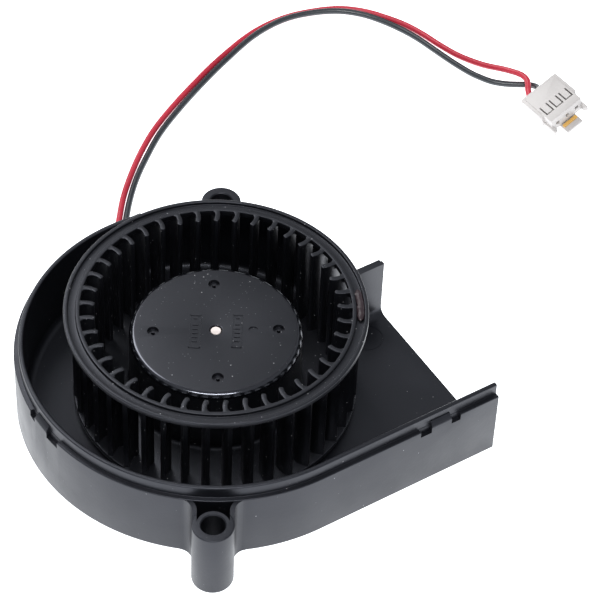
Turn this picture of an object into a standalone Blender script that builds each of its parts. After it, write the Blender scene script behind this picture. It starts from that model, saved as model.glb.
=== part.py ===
"""Centrifugal blower fan without its upper cover: scroll casing, outer-rotor motor, impeller and lead.

The origin is on the impeller's axis, at the underside of the casing. +Z is up, and air leaves towards +X.
Lengths and places below are in millimetres; the meshes are made in metres.
"""

import math

import bmesh
import bpy
from mathutils import Matrix, Vector

MM = 0.001
FULL_TURN = 2 * math.pi

# Casing
SCROLL_RADIUS = 36.1
SCROLL_GROWTH = 5.4
SCROLL_START = 7.0
SCROLL_FULL = 160.0
GROWTH_POWER = 1.6
OUTLET_X = 36.8
WALL = 1.8
FLOOR = 1.5
WALL_TOP = 14.0
LIP_TOP = 16.3
LEDGE = 0.9
TONGUE_FILLET = 1.0
TONGUE_LOW = ((29.5, 0.0, 14.4), (38.0, 8.0, 17.0))
FLOOR_FILLET = 1.4

# Catches for the cover's hooks: spans in degrees at the left, in millimetres along the long wall
LEFT_NOTCHES = ((175.2, 178.0), (184.5, 189.4))
LEFT_CATCH = (178.2, 184.3)
LONG_NOTCHES = ((20.2, 22.5), (26.7, 28.6))
LONG_CATCH = (22.6, 26.6)
NOTCH_DEPTH = 0.8
NOTCH_HEIGHT = 1.35
CATCH_SLOPE = 0.7
CATCH_RISE = 0.95
ABOVE = 17.0

# Screw bosses
BOSS_RADIUS = 3.7
BOSS_HOLE = 2.1
BOSS_TOP = 14.4
NEAR_BOSS = Vector((-21.65, -35.3))
FAR_BOSS = Vector((19.2, 30.05))
BOSS_FILLET = 2.5
WEB_HALF = 3.62
WEB_WALL = 0.8
WEB_DROP = 0.1
POST_RADIUS = 2.9

# Impeller
BLADES = 41
RING_RADIUS = 27.0
RING_INNER = 24.1
RING_TOP = 23.55
RING_BOTTOM = 22.35
LIP = 0.75
GROOVE_DEPTH = 0.6
PUTTY_SPAN = (-36, -20)
BLADE_TIP = 21.8
BLADE_OUTER = 25.4
BLADE_THICK = 0.9
BLADE_HEADING = 5.7
BLADE_BOW = 0.166
BLADE_BOW_RADIUS = 23.1
BACK_PLATE_RADIUS = 25.7
BACK_PLATE = (2.5, 3.5)
HUB_RADIUS = 15.5
HUB_TOP = 17.7
HUB_WALL = 1.2
HUB_ROUND = 1.1
RING_SIDES = 2 * BLADES
HUB_SIDES = 48

# Motor
SHAFT_RADIUS = 1.0
SHAFT_BORE = 1.15
SHAFT_ENDS = (1.2, 17.6)
WASHER_RADIUS = 2.2
TUBE_RADII = (2.75, 3.4)
SOCKET_GAP = 0.3
SOCKET_RADIUS = 5.4
SOCKET_TOP = 2.0
TUBE_ENDS = (0.95, 12.0)
YOKE_RADIUS = 14.0
YOKE_WALL = 0.8
YOKE_ENDS = (3.2, 16.0)
MAGNET_RADII = (11.2, 12.9)
MAGNET_ENDS = (4.4, 14.4)
CORE_RADIUS = 10.8
CORE_BORE = 3.7
CORE_HUB = 5.2
CORE_ENDS = (6.6, 11.0)
POLES = 4
POLE_NECK = 2.6
POLE_SHOE = 1.5
POLE_GAP = 9.0
SPOOL = 0.7
FLANGE_RADII = (8.6, 9.2)
FLANGE_SPAN = 24
WINDING = 1.2
COIL_STATIONS = ((5.7, 0.75), (6.2, 1.0), (7.3, 1.0), (7.8, 0.75))
BOARD_RADII = (4.0, 12.4)
BOARD_ENDS = (2.2, 3.0)
GAP = 0.1

# Lead
WIRE_RADIUS = 0.62
WIRE_PITCH = 1.7
CHANNEL_X = 1.0
CHANNEL_WIDTH = 3.5
CHANNEL_DEPTH = 1.35
CHANNEL_ROOF = 1.9
CHANNEL_WALL = 0.85
CHANNEL_ENDS = (9.0, 39.0)
ROOF_ENDS = (11.0, 34.0)
BOARD_WINDOW = (8.2, 12.4)
EXIT_TAB = ((-2.9, 33.9, 12.6), (4.9, 35.5, 13.95))
EXIT_Y = 35.6
WIRE_STEP = 3.5

# The free stretch of each wire, from the casing's rim to the connector
RED_ROUTE = [
    (0.15, 35.8, 0.66), (0.3, 37.6, 0.66), (1.2, 40.0, 0.66), (3.3, 42.9, 0.66), (6.25, 46.55, 0.66),
    (10.2, 51.75, 0.66), (14.55, 56.45, 0.66), (19.55, 61.1, 0.66), (24.85, 65.25, 0.66),
    (31.2, 69.1, 0.66), (38.65, 72.95, 0.66), (47.15, 76.85, 0.66), (56.7, 80.15, 0.66), (64.6, 80.95, 0.66),
    (71.0, 79.85, 0.66), (76.6, 77.65, 0.66), (80.6, 74.4, 0.66), (83.45, 70.6, 0.66),
    (85.8, 66.5, 0.66), (87.35, 62.25, 0.66), (88.5, 57.8, 0.66), (90.0, 53.3, 0.66), (91.95, 49.4, 0.8),
    (93.4, 47.0, 1.05), (94.8, 44.8, 1.5), (95.95, 42.5, 2.0), (96.75, 40.3, 2.4), (96.65, 38.2, 2.5),
    (95.3, 36.1, 2.38), (94.18, 33.86, 2.25),
]
BLACK_ROUTE = [
    (1.85, 35.8, 0.66), (1.95, 37.2, 0.66), (2.75, 39.35, 0.66), (4.55, 42.1, 0.66), (7.3, 45.75, 0.66),
    (11.25, 50.85, 0.66), (15.5, 55.5, 0.66), (20.5, 59.95, 0.66), (25.7, 64.05, 0.66), (31.9, 67.85, 0.66),
    (39.15, 71.7, 0.68), (47.45, 75.5, 0.86), (56.6, 78.85, 1.2), (64.15, 79.8, 1.4), (70.45, 78.75, 1.35),
    (75.85, 76.55, 1.15), (79.6, 73.4, 1.0), (82.2, 69.9, 0.78), (84.25, 65.9, 0.66),
    (85.7, 61.75, 0.66), (86.75, 57.15, 0.66), (87.85, 52.35, 0.66), (89.1, 48.0, 0.66), (90.15, 45.6, 0.66),
    (91.35, 43.5, 0.66), (92.75, 42.0, 0.66), (94.3, 40.75, 0.66), (95.85, 39.75, 0.68), (97.25, 38.35, 1.05),
    (97.65, 36.3, 1.98), (96.55, 34.1, 3.0),
]

# Connector, lying on the catch under its latch arm and on one long edge
CONNECTOR_AT = (97.05, 34.3)
CONNECTOR_TURN = 5.7
CONNECTOR_ROLL = 17.5
CONNECTOR_SIZE = (9.3, 8.7, 3.4)
CONNECTOR_NOSE = 8.0
CONNECTOR_SHOULDER = 6.3
POSITIONS = 3
PITCH = 2.5
CAVITY = 1.5
CAVITY_LOW = 0.9
CONTACT_HALF = 0.6
CONTACT_ENDS = (-8.1, -2.0)
WINDOW_ENDS = (-6.6, -4.5)
SKIRT_THICK = 0.9
SKIRT_HIGH = 1.3
SKIRT_REACH = 1.3
LATCH_WIDTH = 4.0
LATCH_DROP = 0.8
LATCH_THICK = 0.6
LATCH_REACH = 2.1
LATCH_END = -1.6
ROOT_ENDS = (-5.2, -2.6)
CATCH_WIDTH = 1.6
CATCH_DROP = 1.21
CATCH_ENDS = (-6.4, -3.0)


def clear_scene():
    for obj in list(bpy.data.objects):
        bpy.data.objects.remove(obj, do_unlink=True)


def finish(name, colour, roughness, metallic=0.0):
    material = bpy.data.materials.new(name)
    material.use_nodes = True
    shader = material.node_tree.nodes["Principled BSDF"]
    shader.inputs["Base Color"].default_value = (*colour, 1.0)
    shader.inputs["Roughness"].default_value = roughness
    shader.inputs["Metallic"].default_value = metallic
    return material


def add_node(name, shape, material):
    """Make an object in metres from a bmesh in millimetres."""
    bmesh.ops.scale(shape, vec=(MM, MM, MM), verts=shape.verts)
    bmesh.ops.recalc_face_normals(shape, faces=shape.faces)
    mesh = bpy.data.meshes.new(name)
    shape.to_mesh(mesh)
    shape.free()
    if material:
        mesh.materials.append(material)
    obj = bpy.data.objects.new(name, mesh)
    bpy.context.scene.collection.objects.link(obj)
    shade(obj)
    return obj


def shade(obj):
    obj.data.shade_smooth()
    obj.data.set_sharp_from_angle(angle=math.radians(35))


def combine(obj, tools, operation):
    """Join bmesh tools to an object, or cut them from it, one after another."""
    for tool in tools:
        cutter = add_node("cutter", tool, None)
        change = obj.modifiers.new("combine", "BOOLEAN")
        change.operation = operation
        change.object = cutter
        graph = bpy.context.evaluated_depsgraph_get()
        result = bpy.data.meshes.new_from_object(obj.evaluated_get(graph))
        obj.modifiers.clear()
        obj.data = result
        result.name = obj.name
        bpy.data.objects.remove(cutter, do_unlink=True)
    shade(obj)


def prism(outline, low, high):
    """Upright solid on an outline of (x, y) points."""
    shape = bmesh.new()
    bottom = [shape.verts.new((x, y, low)) for x, y in outline]
    top = [shape.verts.new((x, y, high)) for x, y in outline]
    shape.faces.new(bottom)
    shape.faces.new(top)
    for i in range(len(outline)):
        shape.faces.new((bottom[i - 1], bottom[i], top[i], top[i - 1]))
    return shape


def box(low, high):
    (x0, y0, z0), (x1, y1, z1) = low, high
    return prism([(x0, y0), (x1, y0), (x1, y1), (x0, y1)], z0, z1)


def turned(profile, sides):
    """Ring about the Z axis with a closed profile of (radius, height) points."""
    shape = bmesh.new()
    rings = []
    for k in range(sides):
        angle = FULL_TURN * k / sides
        rings.append([shape.verts.new((r * math.cos(angle), r * math.sin(angle), z)) for r, z in profile])
    for k in range(sides):
        for j in range(len(profile)):
            shape.faces.new((rings[k - 1][j - 1], rings[k][j - 1], rings[k][j], rings[k - 1][j]))
    return shape


def ring(inner, outer, low, high, sides=36):
    return turned([(inner, low), (outer, low), (outer, high), (inner, high)], sides)


def disc(radius, low, high, sides=32, centre=(0.0, 0.0)):
    return prism(arc(centre, radius, 0, 360 - 360 / sides, sides - 1), low, high)


def arc(centre, radius, start, end, steps):
    """Points on an arc, from start to end in degrees, both included."""
    angles = [math.radians(start + (end - start) * i / steps) for i in range(steps + 1)]
    return [(centre[0] + radius * math.cos(a), centre[1] + radius * math.sin(a)) for a in angles]


def polar(radius, degrees):
    return Vector((radius * math.cos(math.radians(degrees)), radius * math.sin(math.radians(degrees))))


def smooth_curve(points, step):
    """Points about one step apart on a Catmull-Rom curve through the given points."""
    knots = [Vector(p) for p in points]
    knots = [2 * knots[0] - knots[1], *knots, 2 * knots[-1] - knots[-2]]
    dense = []
    for a, b, c, d in zip(knots, knots[1:], knots[2:], knots[3:]):
        for i in range(20):
            t = i / 20
            dense.append(0.5 * (2 * b + (c - a) * t + (2 * a - 5 * b + 4 * c - d) * t**2
                                + (3 * b - a - 3 * c + d) * t**3))
    dense.append(knots[-2])
    lengths = [0.0]
    for a, b in zip(dense, dense[1:]):
        lengths.append(lengths[-1] + (b - a).length)
    count = max(2, round(lengths[-1] / step))
    spaced = []
    for i in range(count + 1):
        wanted = lengths[-1] * i / count
        k = max(1, next((j for j, s in enumerate(lengths) if s >= wanted - 1e-9), len(dense) - 1))
        share = (wanted - lengths[k - 1]) / (lengths[k] - lengths[k - 1])
        spaced.append(dense[k - 1].lerp(dense[k], share))
    return spaced


def scroll_point(degrees):
    """Point of the casing's outer face, whose radius grows from the tongue and then stays the same."""
    share = max(0.0, (SCROLL_FULL - degrees) / (SCROLL_FULL - SCROLL_START))
    return polar(SCROLL_RADIUS - SCROLL_GROWTH * share**GROWTH_POWER, degrees)


def scroll_normal(degrees):
    along = scroll_point(degrees + 0.1) - scroll_point(degrees - 0.1)
    return Vector((along.y, -along.x)).normalized()


def scroll_stations():
    """(point, outward normal) along the wall, from the tongue's outlet end to the long wall's."""
    start = scroll_normal(SCROLL_START)
    centre = scroll_point(SCROLL_START) + TONGUE_FILLET * start
    lean = math.degrees(math.atan2(start.y, start.x))
    up = Vector((0, 1))
    stations = [(Vector((OUTLET_X, centre.y - TONGUE_FILLET)), up)]
    for i in range(7):
        normal = polar(1, 90 + (lean - 90) * i / 6)
        stations.append((centre - TONGUE_FILLET * normal, normal))
    bends = 58
    for i in range(1, bends + 1):
        angle = SCROLL_START + (270 - SCROLL_START) * i / bends
        normal = scroll_normal(angle) if angle < SCROLL_FULL else polar(1, angle)
        stations.append((scroll_point(angle), normal))
    stations.append((Vector((OUTLET_X, -SCROLL_RADIUS)), Vector((0, -1))))
    return stations


def scroll_shell():
    """Floor and wall with a stepped rim, open at the top and at the outlet."""
    bend = FLOOR_FILLET * (1 - math.sqrt(0.5))
    section = [(0, 0), (0, WALL_TOP), (LEDGE, WALL_TOP), (LEDGE, LIP_TOP), (WALL, LIP_TOP),
               (WALL, FLOOR + FLOOR_FILLET), (WALL + bend, FLOOR + bend), (WALL + FLOOR_FILLET, FLOOR)]
    shape = bmesh.new()
    rows = []
    for point, normal in scroll_stations():
        rows.append([shape.verts.new((*(point - inset * normal), z)) for inset, z in section])
    for a, b in zip(rows, rows[1:]):
        for j in range(1, len(section)):
            shape.faces.new((a[j - 1], a[j], b[j], b[j - 1]))
    shape.faces.new([row[0] for row in rows])
    shape.faces.new([row[-1] for row in rows])
    shape.faces.new(rows[0] + rows[-1][::-1])
    return shape


def web_edge(boss, wall_radius, inside, side):
    """One edge of a boss's web, this far inside its face: from the scroll round to beside the boss.

    Its points are (along, across) the line from the origin to the boss, and side is 1 or -1.
    """
    across = WEB_HALF + BOSS_FILLET
    far = wall_radius + BOSS_FILLET
    along = math.sqrt(far**2 - across**2)
    radius, start = BOSS_FILLET + inside, wall_radius + 0.05
    bend = math.degrees(math.acos(min(1.0, (far**2 + radius**2 - start**2) / (2 * far * radius))))
    lean = math.degrees(math.atan2(across, along))
    return arc((along, side * across), radius, side * (180 + lean + bend), side * 270, 8)


def beside_boss(boss, points):
    """Points (along, across) the line from the origin to a boss, as places on the casing."""
    along = boss.normalized()
    across = Vector((-along.y, along.x))
    return [tuple(u * along + v * across) for u, v in points]


def boss_web(boss, wall_radius):
    """Outline that joins a boss to the scroll with a concave fillet on each side."""
    left, right = (web_edge(boss, wall_radius, 0, side) for side in (1, -1))
    root = wall_radius - LEDGE
    ends = [(root, right[0][1]), *right, (boss.length, -WEB_HALF), (boss.length, WEB_HALF), *left[::-1],
            (root, left[0][1])]
    return beside_boss(boss, ends)


def boss_pocket(boss, wall_radius):
    """Outline of the hollow in a boss's web, between its two thin walls, the scroll and the post."""
    left, right = (web_edge(boss, wall_radius, WEB_WALL, side) for side in (1, -1))
    spread = math.degrees(math.asin((WEB_HALF - WEB_WALL) / POST_RADIUS))
    post = arc((boss.length, 0), POST_RADIUS, 180 + spread, 180 - spread, 6)
    swing = math.degrees(math.atan2(left[0][1], left[0][0]))
    back = arc((0, 0), wall_radius + 0.05, swing, -swing, 4)
    return beside_boss(boss, [*right, *post, *left[::-1], *back[1:-1]])


def snap_cutters():
    """Two notches through the ledge's outer edge beside each catch, at the left and on the long wall."""
    rim, inner = SCROLL_RADIUS + 1, SCROLL_RADIUS - NOTCH_DEPTH
    low = WALL_TOP - NOTCH_HEIGHT
    for start, end in LEFT_NOTCHES:
        yield prism(arc((0, 0), rim, start, end, 4) + arc((0, 0), inner, end, start, 4), low, ABOVE)
    for start, end in LONG_NOTCHES:
        yield box((start, -rim, low), (end, -inner, ABOVE))


def catch(stations):
    """Ridge that stands on the ledge against the lip, with a sloped outer face."""
    low, high, back = WALL_TOP - 0.3, WALL_TOP + CATCH_RISE, LEDGE + 0.2
    section = [(0.05, low), (0.05, WALL_TOP), (CATCH_SLOPE, high), (back, high), (back, low)]
    shape = bmesh.new()
    rows = [[shape.verts.new((*(point - inset * normal), z)) for inset, z in section]
            for point, normal in stations]
    for a, b in zip(rows, rows[1:]):
        for j in range(len(section)):
            shape.faces.new((a[j - 1], a[j], b[j], b[j - 1]))
    shape.faces.new(rows[0])
    shape.faces.new(rows[-1])
    return shape


def catches():
    """A catch for the cover's hook at the left, and one on the long wall."""
    start, end = LEFT_CATCH
    headings = [start + (end - start) * i / 4 for i in range(5)]
    yield catch([(polar(SCROLL_RADIUS, a), polar(1, a)) for a in headings])
    yield catch([(Vector((x, -SCROLL_RADIUS)), Vector((0, -1))) for x in LONG_CATCH])


def channel_box(wider, ends, low, high):
    """Block along the wires' channel, wider than it by this much on each side."""
    half = CHANNEL_WIDTH / 2 + wider
    return box((CHANNEL_X - half, ends[0], low), (CHANNEL_X + half, ends[1], high))


def make_housing(material):
    shell = add_node("housing_shell", scroll_shell(), material)
    heading = math.degrees(math.atan2(FAR_BOSS.y, FAR_BOSS.x))
    bosses = ((NEAR_BOSS, SCROLL_RADIUS), (FAR_BOSS, scroll_point(heading).length))
    joined, cuts = [], []
    for boss, wall_radius in bosses:
        joined.append(prism(boss_web(boss, wall_radius), 0.05, WALL_TOP - WEB_DROP))
        joined.append(disc(BOSS_RADIUS, 0, BOSS_TOP, 36, boss))
        cuts.append(disc(BOSS_HOLE, -1, ABOVE, 32, boss))
    joined.append(channel_box(CHANNEL_WALL, ROOF_ENDS, 0.5, CHANNEL_ROOF))
    joined.append(box(*EXIT_TAB))
    joined.append(disc(SOCKET_RADIUS, 0.5, SOCKET_TOP, 48))
    combine(shell, [*joined, *catches()], "UNION")
    cuts.append(prism(boss_pocket(NEAR_BOSS, SCROLL_RADIUS), FLOOR, ABOVE))
    cuts.append(disc(TUBE_RADII[1] + SOCKET_GAP, -1, 4, 48))
    cuts.append(channel_box(0, CHANNEL_ENDS, -1, CHANNEL_DEPTH))
    cuts.append(channel_box(0.3, BOARD_WINDOW, -1, 4))
    cuts.append(box(*TONGUE_LOW))
    combine(shell, [*cuts, *snap_cutters()], "DIFFERENCE")


def blade_outline(number):
    """Section of one forward-curved blade, its hollow side facing the way the wheel turns."""
    heading = 360 * number / BLADES + BLADE_HEADING
    steps = 5
    middle = []
    for i in range(steps + 1):
        radius = BLADE_TIP + (BLADE_OUTER - BLADE_TIP) * i / steps
        bend = BLADE_BOW * (radius - BLADE_BOW_RADIUS) ** 2
        middle.append(polar(radius, heading + math.degrees(bend / radius)))
    left, right = [], []
    for i, point in enumerate(middle):
        along = (middle[min(i + 1, steps)] - middle[max(i - 1, 0)]).normalized()
        side = Vector((-along.y, along.x)) * BLADE_THICK / 2
        left.append(tuple(point + side))
        right.append(tuple(point - side))
    inward = (middle[0] - middle[1]).normalized() * BLADE_THICK / 3
    return [tuple(middle[0] + inward), *left, *right[::-1]]


def blades():
    """All the blades' prisms in one bmesh."""
    shape = bmesh.new()
    for number in range(BLADES):
        outline = blade_outline(number)
        bottom = [shape.verts.new((x, y, BACK_PLATE[1] - 0.3)) for x, y in outline]
        top = [shape.verts.new((x, y, RING_TOP - 0.05)) for x, y in outline]
        shape.faces.new(bottom)
        shape.faces.new(top)
        for i in range(len(outline)):
            shape.faces.new((bottom[i - 1], bottom[i], top[i], top[i - 1]))
    return shape


def make_wheel(material):
    """Hub cup and back plate in one turned section, with the blades and the top ring joined on."""
    plate_low, plate_high = BACK_PLATE
    rounding = [(HUB_RADIUS - HUB_ROUND + x, HUB_TOP - HUB_ROUND + z)
                for x, z in arc((0, 0), HUB_ROUND, 90, 0, 4)]
    underside = HUB_TOP - HUB_WALL - 0.1
    profile = [(SHAFT_BORE, HUB_TOP), *rounding, (HUB_RADIUS, plate_high), (BACK_PLATE_RADIUS, plate_high),
               (BACK_PLATE_RADIUS, plate_low), (HUB_RADIUS - HUB_WALL, plate_low),
               (HUB_RADIUS - HUB_WALL, underside), (3.2, underside), (3.2, 12.7), (2.75, 12.7),
               (2.75, underside - 0.2), (SHAFT_BORE, underside - 0.2)]
    wheel = add_node("impeller_wheel", turned(profile, HUB_SIDES), material)
    top_ring = ring(RING_INNER, RING_RADIUS, RING_BOTTOM, RING_TOP, RING_SIDES)
    combine(wheel, [blades(), top_ring], "UNION")
    groove = ring(RING_INNER + LIP, RING_RADIUS - LIP, RING_TOP - GROOVE_DEPTH, RING_TOP + 1, RING_SIDES)
    combine(wheel, [groove], "DIFFERENCE")
    return wheel


def make_rotor(plastic, steel, magnet, brass, felt, putty):
    """The pieces that turn with the shaft."""
    make_wheel(plastic)
    low, high = YOKE_ENDS
    inner = YOKE_RADIUS - YOKE_WALL
    yoke = [(YOKE_RADIUS, low), (YOKE_RADIUS, high - 0.8), (YOKE_RADIUS - 0.8, high), (3.6, high),
            (3.6, high - YOKE_WALL), (inner, high - YOKE_WALL), (inner, low)]
    add_node("rotor_yoke", turned(yoke, 40), steel)
    add_node("rotor_magnet", ring(*MAGNET_RADII, *MAGNET_ENDS), magnet)
    add_node("shaft_insert", ring(SHAFT_BORE - 0.05, 2.6, 12.8, 15.9, 24), brass)
    add_node("shaft", disc(SHAFT_RADIUS, *SHAFT_ENDS, 24), steel)
    clip = arc((0, 0), 2.1, 30, 330, 16) + arc((0, 0), SHAFT_RADIUS + 0.06, 330, 30, 16)
    add_node("shaft_clip", prism(clip, 1.5, 1.9), steel)
    add_node("thrust_washer", ring(SHAFT_RADIUS + GAP, WASHER_RADIUS, 2.05, 2.35, 24), felt)
    add_node("oil_washer", ring(SHAFT_RADIUS + GAP, WASHER_RADIUS, 12.1, 12.4, 24), felt)
    groove_floor = RING_TOP - GROOVE_DEPTH + GAP
    start, end = PUTTY_SPAN
    outer, inner = RING_RADIUS - LIP - 0.2, RING_INNER + LIP + 0.2
    lump = arc((0, 0), outer, start, end, 8) + arc((0, 0), inner, end, start, 8)
    lump_node = add_node("balance_putty", prism(lump, groove_floor, RING_TOP + 0.1), putty)
    crown = lump_node.modifiers.new("crown", "BEVEL")
    crown.width = 0.2 * MM
    crown.segments = 2
    crown.limit_method = "ANGLE"


def make_bearings(brass, bronze, rubber):
    inner, outer = TUBE_RADII
    low, high = TUBE_ENDS
    tube = [(inner, low), (outer, low), (outer, high - 0.3), (outer - 0.3, high), (inner, high)]
    add_node("bearing_tube", turned(tube, 32), brass)
    bore = SHAFT_RADIUS + 0.06
    for name, bottom in (("bearing_lower", 2.5), ("bearing_upper", 8.3)):
        add_node(name, ring(bore, inner - GAP, bottom, bottom + 3.4, 32), bronze)
    add_node("bearing_end_cap", disc(outer, 0, 0.7, 32), rubber)


def pole_heading(pole):
    return 360 * pole / POLES + 45


def pole_outline(shrink=0.0):
    """Four-pole star: a round hub with necks that widen into curved shoes."""
    half = POLE_NECK / 2 - shrink
    shoe_inner = CORE_RADIUS - POLE_SHOE + shrink
    shoe_outer = CORE_RADIUS - shrink
    span = 180 / POLES - POLE_GAP
    outline = []
    for pole in range(POLES):
        heading = pole_heading(pole)
        foot = math.degrees(math.asin(half / CORE_HUB))
        shoulder = math.degrees(math.asin(half / shoe_inner))
        outline += [tuple(polar(CORE_HUB, heading - foot)), tuple(polar(shoe_inner, heading - shoulder)),
                    tuple(polar(shoe_inner, heading - span))]
        outline += arc((0, 0), shoe_outer, heading - span, heading + span, 10)
        outline += [tuple(polar(shoe_inner, heading + span)), tuple(polar(shoe_inner, heading + shoulder)),
                    tuple(polar(CORE_HUB, heading + foot))]
        hub_gap = 360 / POLES - 2 * foot
        outline += arc((0, 0), CORE_HUB, heading + foot, heading + foot + hub_gap, 6)[1:-1]
    return outline


def add_star(name, low, high, material, shrink=0.0):
    star = add_node(name, prism(pole_outline(shrink), low, high), material)
    combine(star, [disc(CORE_BORE, low - 1, high + 1, 32)], "DIFFERENCE")
    return star


def make_stator(lamination, spool, copper):
    low, high = CORE_ENDS
    add_star("stator_core", low, high, lamination)
    inner, outer = FLANGE_RADII
    spools = (
        ("insulator_lower", (low - GAP - SPOOL, low - GAP), (low - SPOOL - WINDING, low - GAP - 0.2)),
        ("insulator_upper", (high + GAP, high + GAP + SPOOL), (high + GAP + 0.2, high + SPOOL + WINDING)),
    )
    for name, plate, flange in spools:
        star = add_star(name, *plate, spool, 0.2)
        walls = []
        for pole in range(POLES):
            start = pole_heading(pole) - FLANGE_SPAN
            end = pole_heading(pole) + FLANGE_SPAN
            wall = arc((0, 0), outer, start, end, 6) + arc((0, 0), inner, end, start, 6)
            walls.append(prism(wall, *flange))
        combine(star, walls, "UNION")
    coil_inner = (POLE_NECK / 2 + 0.25, (high - low) / 2 + GAP + SPOOL + 0.15)
    for pole in range(POLES):
        coil = add_node(f"coil_{pole + 1}", coil_loop(coil_inner, WINDING), copper)
        turn = Matrix.Rotation(math.radians(pole_heading(pole)), 4, "Z")
        coil.matrix_world = turn @ Matrix.Translation((0, 0, (low + high) / 2 * MM))


def coil_loop(inner, build):
    """Winding around a pole's neck along +X: a rounded rectangular loop, fuller in the middle."""
    shape = bmesh.new()
    rows = []
    for x, fullness in COIL_STATIONS:
        half_y, half_z = inner
        grow = build * fullness
        outside = []
        for cy, cz, start in ((1, 1, 0), (-1, 1, 90), (-1, -1, 180), (1, -1, 270)):
            corner = arc((cy * half_y, cz * half_z), grow, start, start + 90, 4)
            outside += corner
        rows.append([shape.verts.new((x, y, z)) for y, z in outside])
    inside = [(1, 1), (-1, 1), (-1, -1), (1, -1)]
    ends = [[shape.verts.new((x, cy * inner[0], cz * inner[1])) for cy, cz in inside]
            for x in (COIL_STATIONS[0][0], COIL_STATIONS[-1][0])]
    count = len(rows[0])
    for a, b in zip(rows, rows[1:]):
        for i in range(count):
            shape.faces.new((a[i - 1], a[i], b[i], b[i - 1]))
    for i in range(4):
        shape.faces.new((ends[0][i - 1], ends[0][i], ends[1][i], ends[1][i - 1]))
    for row, end in ((rows[0], ends[0]), (rows[-1], ends[1])):
        per = count // 4
        for i in range(4):
            corner = row[i * per:(i + 1) * per]
            for a, b in zip(corner, corner[1:]):
                shape.faces.new((end[i], a, b))
            following = row[((i + 1) * per) % count]
            shape.faces.new((end[i], corner[-1], following, end[(i + 1) % 4]))
    return shape


def make_board(board_finish, chip_finish, capacitor_finish):
    low, high = BOARD_ENDS
    board = add_node("circuit_board", ring(*BOARD_RADII, low, high), board_finish)
    mount_notch = box((-1.2, -13, low - 1), (1.2, -11.4, high + 1))
    combine(board, [mount_notch], "DIFFERENCE")
    top = high + GAP
    parts = (("hall_sensor", chip_finish, (9.9, -1.5), (11.1, 1.5), 1.0),
             ("driver_chip", chip_finish, (-10.2, -2.4), (-6.4, 2.4), 1.3),
             ("capacitor", capacitor_finish, (-1.0, -10.4), (1.0, -7.4), 1.2))
    for name, material, (x0, y0), (x1, y1), tall in parts:
        piece = add_node(name, box((x0, y0, top), (x1, y1, top + tall)), material)
        edge = piece.modifiers.new("edge", "BEVEL")
        edge.width = 0.12 * MM
        edge.segments = 1


def add_wire(name, route, step, material):
    curve = bpy.data.curves.new(name, "CURVE")
    curve.dimensions = "3D"
    curve.bevel_depth = WIRE_RADIUS * MM
    curve.bevel_resolution = 2
    curve.use_fill_caps = True
    spline = curve.splines.new("POLY")
    points = smooth_curve(route, step)
    spline.points.add(len(points) - 1)
    for target, point in zip(spline.points, points):
        target.co = (*(point * MM), 1.0)
    curve.materials.append(material)
    obj = bpy.data.objects.new(name, curve)
    bpy.context.scene.collection.objects.link(obj)


def make_lead(red, black):
    for name, side, material in (("lead_red_inner", -1, red), ("lead_black_inner", 1, black)):
        x = CHANNEL_X + side * WIRE_PITCH / 2
        inner = [(x, 9.3, 1.25), (x, 10.6, 1.0), (x, 12.6, 0.72), (x, 20, 0.68), (x, 28, 0.68),
                 (x, EXIT_Y - 0.1, 0.68)]
        add_wire(name, inner, 2.6, material)
    add_wire("wire_red", RED_ROUTE, WIRE_STEP, red)
    add_wire("wire_black", BLACK_ROUTE, WIRE_STEP, black)


def connector_place():
    """Where the connector lies: x across its positions, -y towards the mating end, z up through it."""
    lift = CONNECTOR_SIZE[0] / 2 * math.sin(math.radians(CONNECTOR_ROLL)) + 0.03
    place = Matrix.Translation((CONNECTOR_AT[0] * MM, CONNECTOR_AT[1] * MM, lift * MM))
    turn = Matrix.Rotation(math.radians(CONNECTOR_TURN), 4, "Z")
    return place @ turn @ Matrix.Rotation(math.radians(-CONNECTOR_ROLL), 4, "Y")


def make_connector(ivory, tin):
    width, length, thick = CONNECTOR_SIZE
    rear, nose = width / 2, CONNECTOR_NOSE / 2
    outline = [(-rear, 0), (-rear, -CONNECTOR_SHOULDER), (-nose, -CONNECTOR_SHOULDER), (-nose, -length),
               (nose, -length), (nose, -CONNECTOR_SHOULDER), (rear, -CONNECTOR_SHOULDER), (rear, 0)]
    body = add_node("connector_housing", prism(outline, 0, thick), ivory)
    skirts = []
    for side in (-nose, nose):
        skirts.append(box((side - SKIRT_THICK / 2, -length - SKIRT_REACH, 0.05),
                          (side + SKIRT_THICK / 2, 0.9 - CONNECTOR_SHOULDER, SKIRT_HIGH)))
    half = LATCH_WIDTH / 2
    arm = box((-half, -length - LATCH_REACH, -LATCH_DROP), (half, LATCH_END, LATCH_THICK - LATCH_DROP))
    arm_root = box((0.1 - half, ROOT_ENDS[0], -LATCH_DROP / 2), (half - 0.1, ROOT_ENDS[1], 0.5))
    half = CATCH_WIDTH / 2
    catch = box((-half, CATCH_ENDS[0], -CATCH_DROP), (half, CATCH_ENDS[1], -LATCH_DROP / 2 - 0.1))
    combine(body, [*skirts, arm_root, arm, catch], "UNION")
    cuts = []
    for position in range(POSITIONS):
        left = (position - 1) * PITCH - CAVITY / 2
        right = left + CAVITY
        cuts.append(box((left, -length - 3, CAVITY_LOW), (right, 1, CAVITY_LOW + CAVITY)))
        cuts.append(box((left, WINDOW_ENDS[0], CAVITY_LOW + CAVITY / 2), (right, WINDOW_ENDS[1], thick + 1)))
    combine(body, cuts, "DIFFERENCE")
    body.matrix_world = connector_place()
    for name, position in (("terminal_red", 0), ("terminal_black", 1)):
        x = (position - 1) * PITCH
        middle = CAVITY_LOW + CAVITY / 2
        contact = add_node(name, box((x - CONTACT_HALF, CONTACT_ENDS[0], middle - CONTACT_HALF),
                                     (x + CONTACT_HALF, CONTACT_ENDS[1], middle + CONTACT_HALF)), tin)
        contact.matrix_world = connector_place()


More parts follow.
